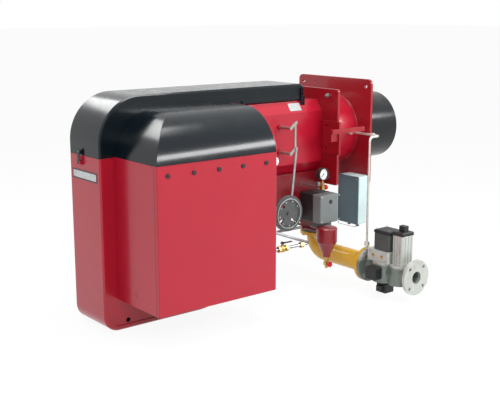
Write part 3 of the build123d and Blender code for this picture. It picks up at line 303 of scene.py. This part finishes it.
finishes = {
    "red": stovePaint("redStovePaint", redPaint),
    # two copies of the red paint darkened as painted shade, for red parts that sit in shade
    "redInShade": stovePaint("redStovePaintInShade", {**redPaint, "tone": colour(136, 6, 22)}),
    "redInDeepShade": stovePaint("redStovePaintInDeepShade", {**redPaint, "tone": colour(118, 8, 22)}),
    "black": stovePaint("blackStovePaint", blackPaint),
    "blackGloss": stovePaint("blackGlossPaint", glossBlack),
    "tubeBlack": stovePaint("tubeBlack", {
        **blackPaint, "tone": colour(7, 12, 16), "roughness": 0.16, "shine": 0.34}),
    "yellow": stovePaint("yellowPaint", {
        **redPaint, "tone": colour(196, 150, 22), "under": colour(132, 98, 16),
        "scuff": 0.3, "roughness": 0.36}),
    "motorPaint": stovePaint("motorPaint", {**blackPaint, "tone": colour(58, 72, 84)}),
    "blackPlastic": mouldedPlastic("blackPlastic", plasticBase),
    "greyPlastic": mouldedPlastic("greyPlastic", {
        **plasticBase, "tone": colour(104, 110, 110), "rubTone": colour(140, 145, 145)}),
    "actuatorGrey": mouldedPlastic("actuatorGrey", {
        **plasticBase, "tone": colour(62, 68, 66), "rubTone": colour(96, 100, 98)}),
    "boxGrey": mouldedPlastic("boxGrey", {
        **plasticBase, "tone": colour(184, 202, 203), "rubTone": colour(214, 222, 222),
        "roughness": 0.36}),
    # the junction lid on the box's shaded face is the box grey darkened: painted shade
    "boxGreyInShade": mouldedPlastic("boxGreyInShade", {
        **plasticBase, "tone": colour(84, 106, 114), "rubTone": colour(120, 136, 142)}),
    "redPlastic": mouldedPlastic("redPlastic", {
        **plasticBase, "tone": colour(190, 22, 24), "rubTone": colour(214, 80, 74),
        "roughness": 0.3}),
    "ceramic": mouldedPlastic("ceramic", {
        **plasticBase, "tone": colour(232, 226, 214), "rubTone": colour(150, 138, 120),
        "roughness": 0.25}),
    "dialWhite": mouldedPlastic("dialWhite", {
        **plasticBase, "tone": colour(236, 237, 234), "rubTone": colour(222, 222, 216),
        "depth": 0.05}),
    "gasketFibre": mouldedPlastic("gasketFibre", {
        **plasticBase, "tone": colour(74, 84, 78), "rubTone": colour(104, 112, 104),
        "roughness": 0.8, "depth": 0.5}),
    "latchPlastic": mouldedPlastic("latchPlastic", {
        **plasticBase, "spot": (0.032, 0.018, 0.0045), "spotTone": colour(40, 150, 84)}),
    "steel": bareMetal("brushedSteel", steelBase),
    "nickel": bareMetal("nickelTube", {
        **steelBase, "tone": colour(226, 224, 218), "shade": colour(176, 172, 164),
        "metallic": 0.75, "stretch": (1, 1, 1)}),
    "zinc": bareMetal("zincPlate", {
        **steelBase, "tone": colour(192, 190, 180), "shade": colour(132, 130, 122),
        "streak": 60.0, "stretch": (1, 1, 1), "patch": 110.0, "roughness": 0.3}),
    "platePressed": bareMetal("platePressed", {
        **steelBase, "tone": colour(206, 208, 209), "shade": colour(160, 163, 165),
        "metallic": 0.7, "stretch": (1, 8, 1)}),
    "brass": bareMetal("brass", {
        **steelBase, "tone": colour(214, 178, 108), "shade": colour(150, 116, 60),
        "stainTone": colour(96, 74, 40)}),
    "alu": castMetal("castAluminium", castBase),
    "castDark": castMetal("castDark", {
        **castBase, "tone": colour(84, 86, 86), "grimeTone": colour(48, 46, 42),
        "metallic": 0.35}),
    "valveGrey": castMetal("valveGrey", {**castBase, "low": colour(96, 108, 100)}),
}

finishOf = {
    "red": ["blast_tube", "air_duct", "fan_casing", "side_hood"],
    # the mounting flange and head plate take the red with painted shade, the regulator bracket and
    # pilot filter the red with deeper painted shade
    "redInShade": ["mounting_flange", "head_plate"],
    "redInDeepShade": ["regulator_bracket", "pilot_filter"],
    "tubeBlack": ["flame_tube"],
    "black": ["cover_hinge", "motor_cowl", "air_inlet", "hood_screws", "gauge_needle",
              "pilot_lever"],
    "blackGloss": ["top_cover", "hood_lid"],
    "latchPlastic": ["latch_lever"],
    "blackPlastic": ["servo_base", "actuator_caps", "gas_switches", "gauge_case"],
    "greyPlastic": ["servo_cover", "air_switch"],
    "actuatorGrey": ["actuator_one"],
    "boxGrey": ["junction_box"],
    # the lid takes the box grey darkened as painted shade
    "boxGreyInShade": ["junction_lid"],
    "steel": ["gas_distributor", "diffuser_disc", "electrode_rods", "rotor_shaft", "air_rod",
              "gas_butterfly", "service_pipes"],
    "nickel": ["impulse_line"],
    "zinc": ["head_bolts", "electrode_clamps", "fan_wheel", "fan_scroll", "servo_crank",
             "servo_rod", "gas_rod", "damper_link", "damper_lower", "damper_upper",
             "gas_line_bolts"],
    "yellow": ["gas_elbow"],
    "alu": ["valve_blocks"],
    "valveGrey": ["valve_body"],
    "castDark": ["cam_disc", "butterfly_body"],
    "brass": ["service_cocks"],
    "ceramic": ["electrode_insulators"],
    "dialWhite": ["gauge_dial", "air_switch_cap"],
    "redPlastic": ["gauge_handle", "drain_knob"],
    "motorPaint": ["motor_body"],
    "gasketFibre": ["gas_gaskets"],
    "platePressed": ["blank_plates"],
}
for finishName, members in finishOf.items():
    for member in members:
        for slot in cadNodes[member].material_slots:
            slot.material = finishes[finishName]
print("finishes made:", len(finishes))

# real edges: sheet and castings get a small radius in millimetres, on a merged copy
edgeRadius = {
    "mounting_flange": 2.5, "head_plate": 2.0, "blast_tube": 1.0, "flame_tube": 1.2,
    "air_duct": 3.0, "fan_casing": 3.5, "side_hood": 3.0, "top_cover": 3.5, "hood_lid": 3.5,
    "junction_box": 4.0, "junction_lid": 3.0, "servo_base": 4.0, "servo_cover": 4.0,
    "actuator_one": 4.0, "actuator_caps": 2.5, "valve_body": 2.5, "valve_blocks": 2.0,
    "air_switch": 2.0, "air_switch_cap": 3.0, "gas_elbow": 1.5, "regulator_bracket": 1.0,
    "gauge_case": 1.5, "cam_disc": 1.2, "latch_lever": 1.5, "gas_switches": 2.0,
    "butterfly_body": 2.0, "pilot_filter": 2.0, "hood_screws": 1.2, "head_bolts": 1.2,
    "gas_line_bolts": 1.0, "gauge_handle": 1.5, "drain_knob": 1.5, "blank_plates": 0.4,
}
softEdge = dict(mergeWithin=0.00002, flatWithin=0.01, sharpOver=32, roundOver=40, segments=3)


def placed(name, data):
    made = bpy.data.objects.new(name, data)
    bpy.context.scene.collection.objects.link(made)
    return made


def softened(nodeName, millimetres):
    source = cadNodes[nodeName]
    mesh = source.data.copy()
    work = bmesh.new()
    work.from_mesh(mesh)
    bmesh.ops.remove_doubles(work, verts=work.verts, dist=softEdge["mergeWithin"])
    bmesh.ops.dissolve_limit(work, angle_limit=softEdge["flatWithin"], verts=work.verts,
                             edges=work.edges)
    work.to_mesh(mesh)
    work.free()
    if "custom_normal" in mesh.attributes:
        mesh.attributes.remove(mesh.attributes["custom_normal"])
    mesh.shade_smooth()
    mesh.set_sharp_from_angle(angle=math.radians(softEdge["sharpOver"]))
    piece = placed("soft_" + nodeName, mesh)
    edge = piece.modifiers.new("edge", "BEVEL")
    edge.width = millimetres / 1000
    edge.segments = softEdge["segments"]
    edge.limit_method = "ANGLE"
    edge.angle_limit = math.radians(softEdge["roundOver"])
    edge.use_clamp_overlap = True
    edge.harden_normals = True
    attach(piece, source["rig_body"])
    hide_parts(nodeName)


for nodeName, millimetres in edgeRadius.items():
    softened(nodeName, millimetres)
print("edges softened:", len(edgeRadius))


# shapes for the small pieces
def towards(centre, axis):  # a frame whose Z runs along the axis
    turn = Vector(axis).to_track_quat("Z", "Y").to_matrix().to_4x4()
    return Matrix.Translation(Vector(centre)) @ turn


def addTo(work, made):
    mesh = bpy.data.meshes.new("made")
    made.to_mesh(mesh)
    made.free()
    work.from_mesh(mesh)
    bpy.data.meshes.remove(mesh)


def lathe(work, profile, centre, axis, steps):  # profile is (along, radius) from end to end
    turned = bmesh.new()
    corners = [turned.verts.new((radius, 0, along)) for along, radius in profile]
    rims = [turned.edges.new(pair) for pair in zip(corners, corners[1:])]
    bmesh.ops.spin(turned, geom=corners + rims, cent=(0, 0, 0), axis=(0, 0, 1),
                   dvec=(0, 0, 0), angle=math.tau, steps=steps, use_merge=True,
                   use_duplicate=False)
    bmesh.ops.remove_doubles(turned, verts=turned.verts, dist=0.00001)
    bmesh.ops.transform(turned, matrix=towards(centre, axis), verts=turned.verts)
    addTo(work, turned)


def slab(work, centre, size, turn=None):
    matrix = Matrix.Translation(Vector(centre)) @ (turn or Matrix.Identity(4))
    bmesh.ops.create_cube(work, size=1, matrix=matrix @ Matrix.Diagonal((*size, 1)))


def finished(name, work, finish, body, bevel=0.0, sharp=35):
    bmesh.ops.recalc_face_normals(work, faces=work.faces)
    mesh = bpy.data.meshes.new(name)
    work.to_mesh(mesh)
    work.free()
    mesh.shade_smooth()
    mesh.set_sharp_from_angle(angle=math.radians(sharp))
    mesh.materials.append(finishes[finish])
    piece = placed(name, mesh)
    if bevel:
        edge = piece.modifiers.new("edge", "BEVEL")
        edge.width = bevel
        edge.segments = 2
        edge.limit_method = "ANGLE"
    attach(piece, body)


# pressure gauge: scale and numbers
gauge = dict(ticks=24, longEvery=4, sweep=270, tickLong=0.0045, tickShort=0.0028,
             tickWidth=0.0007, tickRise=0.0003, scaleAt=0.9, numbers=7, numberSize=0.0062,
             numberRise=0.00015, numbersAt=0.62, gap=0.0002)
dialLow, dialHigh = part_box("gauge_dial")
dialCentre = (dialLow + dialHigh) / 2
dialRadius = (dialHigh.x - dialLow.x) / 2
dialFace = dialLow.y - gauge["gap"]


def dialBearing(share):
    return math.radians(-gauge["sweep"] / 2 + gauge["sweep"] * share)


def onDial(bearing, reach):
    return (dialCentre.x + math.sin(bearing) * reach, dialFace,
            dialCentre.z + math.cos(bearing) * reach)


work = bmesh.new()
for step in range(gauge["ticks"] + 1):
    bearing = dialBearing(step / gauge["ticks"])
    long = gauge["tickShort"] if step % gauge["longEvery"] else gauge["tickLong"]
    slab(work, onDial(bearing, dialRadius * gauge["scaleAt"] - long / 2),
         (gauge["tickWidth"], gauge["tickRise"], long), Matrix.Rotation(bearing, 4, "Y"))
finished("gaugeScale", work, "blackPlastic", "base")
for step in range(gauge["numbers"]):
    letter = bpy.data.curves.new("gaugeNumber", "FONT")
    letter.body = str(step)
    letter.size = gauge["numberSize"]
    letter.align_x = "CENTER"
    letter.align_y = "CENTER"
    letter.extrude = gauge["numberRise"]
    holder = placed("gaugeNumberCurve", letter)
    bpy.context.view_layer.update()
    mesh = bpy.data.meshes.new_from_object(holder)
    bpy.data.objects.remove(holder)
    spot = onDial(dialBearing(step / (gauge["numbers"] - 1)), dialRadius * gauge["numbersAt"])
    mesh.transform(Matrix.Translation(Vector(spot)) @ Matrix.Rotation(math.radians(90), 4, "X"))
    mesh.materials.clear()
    mesh.materials.append(finishes["blackPlastic"])
    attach(placed("gaugeNumber%d" % step, mesh), "base")
print("gauge done")

# weld beads at both ends of the blast tube
weld = dict(bead=0.0045, corners=8, setIn=0.001, ripple=0.0008, rippleScale=160, steps=150,
            sharp=80)
tubeLow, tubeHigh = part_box("blast_tube")
tubeRadius = (tubeHigh.z - tubeLow.z) / 2
tubeCentre = (tubeLow + tubeHigh) / 2
work = bmesh.new()
for along in (tubeHigh.x - weld["setIn"], tubeLow.x + weld["setIn"]):
    turns = [math.tau * step / weld["corners"] for step in range(weld["corners"] + 1)]
    ring = [(along + math.cos(turn) * weld["bead"], tubeRadius + math.sin(turn) * weld["bead"])
            for turn in turns]
    lathe(work, ring, (0, tubeCentre.y, tubeCentre.z), (1, 0, 0), weld["steps"])
for point in work.verts:
    push = noise.noise(point.co * weld["rippleScale"]) * weld["ripple"]
    centre = Vector((point.co.x, tubeCentre.y, tubeCentre.z))
    point.co += (point.co - centre).normalized() * push
# the beads take the red darkened as painted shade
finished("weldBeads", work, "redInShade", "base", sharp=weld["sharp"])
print("welds done")

# hood: sockets in its screw heads, two dimples on its rear side in red darkened as painted shade,
# and the joint of its panel
hood = dict(screwCount=5, socket=0.0052, socketRise=0.0006, ringRise=0.0005, gap=0.0002,
            dimple=0.011, dimplesAt=((-0.3, -0.612), (-0.408, -0.62)), jointAt=0.021,
            jointTop=0.003, jointWidth=0.0016, jointRise=0.0006, jointShorter=0.008)
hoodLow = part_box("side_hood")[0]
screwLow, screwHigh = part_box("hood_screws")
headRadius = (screwHigh.z - screwLow.z) / 2
socket = hood["socket"]
work = bmesh.new()
for index in range(hood["screwCount"]):
    share = index / (hood["screwCount"] - 1)
    x = screwLow.x + headRadius + (screwHigh.x - screwLow.x - 2 * headRadius) * share
    spot = (x, screwLow.y - hood["gap"], (screwLow.z + screwHigh.z) / 2)
    lathe(work, [(0.0, socket), (hood["socketRise"], 0.0)], spot, (0, -1, 0), 6)
    ring = [(0.0, socket * 1.05), (hood["ringRise"], socket * 1.35), (0.0, socket * 1.6)]
    lathe(work, ring, spot, (0, -1, 0), 24)
finished("hoodScrewSockets", work, "blackPlastic", "base")
dimple = hood["dimple"]
work = bmesh.new()
for y, z in hood["dimplesAt"]:
    curve = [(-0.0006, dimple * 1.25), (0.0004, dimple * 1.1), (0.0002, dimple * 0.95),
             (-0.0004, dimple * 0.7), (-0.0005, 0.0)]
    lathe(work, curve, (hoodLow.x, y, z), (-1, 0, 0), 28)
# the dimples take the red with deeper painted shade
finished("hoodDimples", work, "redInDeepShade", "base")
work = bmesh.new()  # the panel's return flange shows as a fine joint beside the front corner
slab(work, (hoodLow.x, hoodLow.y + hood["jointAt"], (hoodLow.z + hood["jointTop"]) / 2),
     (hood["jointRise"], hood["jointWidth"], hood["jointTop"] - hoodLow.z - hood["jointShorter"]))
finished("hoodJoint", work, "black", "base")
print("hood done")

# name plate: border and four rivets
plate = dict(halfWidth=0.1125, low=-0.114, high=-0.070, border=0.0055, borderRise=0.0006,
             rivet=0.0026, rivetIn=0.009)
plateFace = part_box("blank_plates")[0].x
middleZ = (plate["low"] + plate["high"]) / 2
height = plate["high"] - plate["low"]
work = bmesh.new()
for side in (-1, 1):
    edgeY = side * (plate["halfWidth"] - plate["border"] / 2)
    slab(work, (plateFace, edgeY, middleZ), (plate["borderRise"], plate["border"], height))
    edgeZ = middleZ + side * (height - plate["border"]) / 2
    slab(work, (plateFace, 0, edgeZ),
         (plate["borderRise"], plate["halfWidth"] * 2 - plate["border"] * 2, plate["border"]))
finished("plateBorder", work, "blackPlastic", "base")
work = bmesh.new()
dome = [(0.0, plate["rivet"]), (0.0008, plate["rivet"] * 0.7), (0.0011, 0.0)]
for y in (-1, 1):
    for z in (-1, 1):
        spot = (plateFace, y * (plate["halfWidth"] - plate["rivetIn"]),
                middleZ + z * (height / 2 - plate["rivetIn"]))
        lathe(work, dome, spot, (-1, 0, 0), 16)
finished("plateRivets", work, "steel", "base")
print("plate done")

# cam disc: spring-steel track and its adjusting screws, round the cam's own axis
track = dict(outer=0.080, inner=0.074, thick=0.0025, screws=8, screwRing=0.064, screwFrom=30,
             screwStep=40, screw=0.0042)
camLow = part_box("cam_disc")[0]
camCentre = Vector(next(joint["pos_m"] for joint in frame["joints"]
                        if joint["name"] == "cam_turn"))
work = bmesh.new()
ring = [(0.0, track["inner"]), (track["thick"], track["inner"]),
        (track["thick"], track["outer"]), (0.0, track["outer"])]
lathe(work, ring, (camCentre.x, camLow.y, camCentre.z), (0, -1, 0), 72)
finished("camTrack", work, "steel", "cam", bevel=0.0005)
work = bmesh.new()
head = [(0.0, track["screw"]), (0.0026, track["screw"]), (0.003, 0.0036), (0.003, 0.0)]
for index in range(track["screws"]):
    bearing = math.radians(track["screwFrom"] + index * track["screwStep"])
    spot = (camCentre.x + math.cos(bearing) * track["screwRing"], camLow.y,
            camCentre.z + math.sin(bearing) * track["screwRing"])
    lathe(work, head, spot, (0, -1, 0), 18)
finished("camScrews", work, "zinc", "cam")
print("cam done")

# cover screws on the boxes; the head's profile is in shares of its radius
screwDome = ((0.0, 1.0), (0.35, 0.95), (0.6, 0.6), (0.62, 0.0))


def screwHead(work, spot, axis, radius):
    lathe(work, [(radius * along, radius * out) for along, out in screwDome], spot, axis, 20)


boxes = dict(lidInset=0.012, servoInset=0.011, screw=0.0042)
lidLow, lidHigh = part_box("junction_lid")
servoLow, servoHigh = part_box("servo_cover")
work = bmesh.new()
for y in (lidLow.y + boxes["lidInset"], lidHigh.y - boxes["lidInset"]):
    for z in (lidLow.z + boxes["lidInset"], lidHigh.z - boxes["lidInset"]):
        screwHead(work, (lidLow.x, y, z), (-1, 0, 0), boxes["screw"])
for x in (servoLow.x + boxes["servoInset"], servoHigh.x - boxes["servoInset"]):
    for z in (servoLow.z + boxes["servoInset"], servoHigh.z - boxes["servoInset"]):
        screwHead(work, (x, servoLow.y, z), (0, -1, 0), boxes["screw"])
finished("coverScrews", work, "steel", "base")
print("screws done")

# valve train: grooves down the tall column drawn as dark strips, which is painted shade, screws
# and hexagon test plugs
train = dict(grooves=3, groove=0.0014, grooveDeep=0.0008, grooveLong=0.138,
             columnAt=(-0.131, -0.656, -0.556), frontY=-0.6932, sidesX=(-0.1732, -0.0888),
             frontStep=0.022, sideStep=0.018, screw=0.0036, screwIn=0.009, screwDrop=0.034,
             blockScrewsZ=(-0.632, -0.592), blockScrewsY=(-0.478, -0.592), plug=0.009,
             plugsY=(-0.505, -0.565), plugZ=-0.612)
blockLow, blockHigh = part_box("valve_blocks")
actLow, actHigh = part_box("actuator_one")
columnX, columnY, columnZ = train["columnAt"]
work = bmesh.new()
for index in range(train["grooves"]):
    x = columnX + (index - 1) * train["frontStep"]
    slab(work, (x, train["frontY"], columnZ),
         (train["groove"], train["grooveDeep"], train["grooveLong"]))
for index in range(train["grooves"]):
    y = columnY + (index - 1) * train["sideStep"]
    for x in train["sidesX"]:
        slab(work, (x, y, columnZ), (train["grooveDeep"], train["groove"], train["grooveLong"]))
# dark strips on the cast grey: painted shade in the grooves
finished("columnGrooveShade", work, "castDark", "base")
work = bmesh.new()
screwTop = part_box("actuator_caps")[1].z - train["screwDrop"]
for x in (actLow.x + train["screwIn"], actHigh.x - train["screwIn"]):
    for y in (actLow.y + train["screwIn"], actHigh.y - train["screwIn"]):
        screwHead(work, (x, y, screwTop), (0, 0, 1), train["screw"])
for z in train["blockScrewsZ"]:
    for y in train["blockScrewsY"]:
        screwHead(work, (blockLow.x, y, z), (-1, 0, 0), train["screw"])
        screwHead(work, (blockHigh.x, y, z), (1, 0, 0), train["screw"])
finished("trainScrews", work, "steel", "base")
work = bmesh.new()
plug = train["plug"]
hexagon = [(0.0, plug), (0.004, plug), (0.0046, plug * 0.85), (0.0046, plug * 0.45),
           (0.002, plug * 0.42), (0.002, 0.0)]
for y in train["plugsY"]:
    lathe(work, hexagon, (blockLow.x, y, train["plugZ"]), (-1, 0, 0), 6)
finished("testPlugs", work, "brass", "base", bevel=0.0003)
print("valve train done")

# servo drive: ribs on its housing and a small round window on its cover
servo = dict(ribs=5, rib=0.0022, ribRise=0.0016, ribLong=0.07, firstRib=0.03, ribStep=0.022,
             ribShift=0.004, ribOut=0.0004, window=0.012, windowDrop=0.04)
baseLow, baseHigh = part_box("servo_base")
work = bmesh.new()
for index in range(servo["ribs"]):
    z = servoLow.z + servo["firstRib"] + index * servo["ribStep"]
    spot = (baseLow.x - servo["ribOut"], (baseLow.y + baseHigh.y) / 2 + servo["ribShift"], z)
    slab(work, spot, (servo["ribRise"], servo["ribLong"], servo["rib"]))
finished("servoRibs", work, "blackPlastic", "base", bevel=0.0005)
work = bmesh.new()
window = servo["window"]
bezel = [(0.0, window), (0.0012, window), (0.0016, window * 0.92), (0.0008, window * 0.86),
         (0.0008, 0.0)]
windowAt = ((servoLow.x + servoHigh.x) / 2, servoLow.y, servoHigh.z - servo["windowDrop"])
lathe(work, bezel, windowAt, (0, -1, 0), 32)
finished("servoWindow", work, "blackPlastic", "base")
print("servo done")

# junction box: raised rim of the lid
rim = dict(inset=0.007, width=0.0024, height=0.0008, shorter=0.03)
lidMiddle = (lidLow + lidHigh) / 2
lidWide = lidHigh.y - lidLow.y
lidTall = lidHigh.z - lidLow.z
work = bmesh.new()
for side in (-1, 1):
    y = lidMiddle.y + side * (lidWide / 2 - rim["inset"])
    slab(work, (lidLow.x, y, lidMiddle.z), (rim["height"], rim["width"], lidTall - rim["shorter"]))
    z = lidMiddle.z + side * (lidTall / 2 - rim["inset"])
    slab(work, (lidLow.x, lidMiddle.y, z), (rim["height"], lidWide - rim["shorter"], rim["width"]))
# the rim takes the box grey darkened as painted shade
finished("boxRim", work, "boxGreyInShade", "base", bevel=0.0002)
print("box done")

# floor, backdrop and light
studio = dict(floorSize=60, floorDrop=0.002, paper=(0.5, 2.0), paperLow=colour(238, 238, 238),
              paperHigh=colour(242, 242, 242), paperRoughness=0.9, backdrop=0.92, ambient=0.58,
              aimAt=(-0.7, -0.2, -0.25))
lamps = {
    "keyLight": dict(at=(-4.2, -4.4, 3.2), power=130, size=(2.4, 2.4)),
    "topLight": dict(at=(-0.8, -0.6, 3.0), power=90, size=(2.6, 1.2)),
    "stripLight": dict(at=(0.9, -2.6, 1.22), power=90, size=(3.0, 0.45)),
    "backLight": dict(at=(-1.9, 2.3, 1.9), power=34, size=(2.6, 0.6)),
}


def backdropRays(nodes, cameraShare):  # where the camera, a gloss or a glass sees the backdrop
    camera, gloss, glass = (nodes.node("ShaderNodeLightPath", {}, [], "Is %s Ray" % kind)
                            for kind in ("Camera", "Glossy", "Transmission"))
    return gloss + glass + camera * cameraShare


work = bmesh.new()
bmesh.ops.create_grid(work, x_segments=1, y_segments=1, size=studio["floorSize"],
                      matrix=Matrix.Translation((0, 0, cadBounds[0][2] - studio["floorDrop"])))
mesh = bpy.data.meshes.new("floor")
work.to_mesh(mesh)
work.free()
floor = placed("floor", mesh)
paper = Finish("studioPaper")
paper.put(colour=paper.blendColour(paper.cloud(*studio["paper"]), studio["paperLow"],
                                   studio["paperHigh"]),
          roughness=studio["paperRoughness"])
lit = Channel(paper, paper.shader.outputs[0])
glow = paper.node("ShaderNodeEmission", {}, [])
seen = backdropRays(paper, studio["backdrop"])
paper.feed(paper.tree.nodes["Material Output"].inputs[0],
           paper.node("ShaderNodeMixShader", {}, [seen, lit, glow]))
mesh.materials.append(paper.material)

world = bpy.data.worlds.new("studio")
bpy.context.scene.world = world
sky = Nodes(world)
background = sky.tree.nodes["Background"]
sky.feed(background.inputs["Color"], (1, 1, 1, 1))
sky.feed(background.inputs["Strength"],
         sky.spread(backdropRays(sky, 1.0), 0.0, 1.0, studio["ambient"], 1.0))


def softBox(name, box):
    lamp = bpy.data.lights.new(name, "AREA")
    lamp.energy = box["power"]
    lamp.shape = "RECTANGLE"
    lamp.size, lamp.size_y = box["size"]
    holder = placed(name, lamp)
    holder.location = box["at"]
    aim = Vector(studio["aimAt"]) - Vector(box["at"])
    holder.rotation_euler = aim.to_track_quat("-Z", "Y").to_euler()


for name, box in lamps.items():
    softBox(name, box)

camera = dict(at=(-3.607, -3.701, 0.670), azimuth=38.89, pitch=12.0, lens=65.16, sensor=36)
lens = bpy.data.cameras.new("camera")
lens.lens = camera["lens"]
lens.sensor_width = camera["sensor"]
lens.dof.use_dof = False
eye = placed("camera", lens)
eye.location = camera["at"]
eye.rotation_euler = (math.radians(90 - camera["pitch"]), 0, -math.radians(camera["azimuth"]))
bpy.context.scene.camera = eye
bpy.context.scene.view_settings.view_transform = "Standard"
print("studio done")
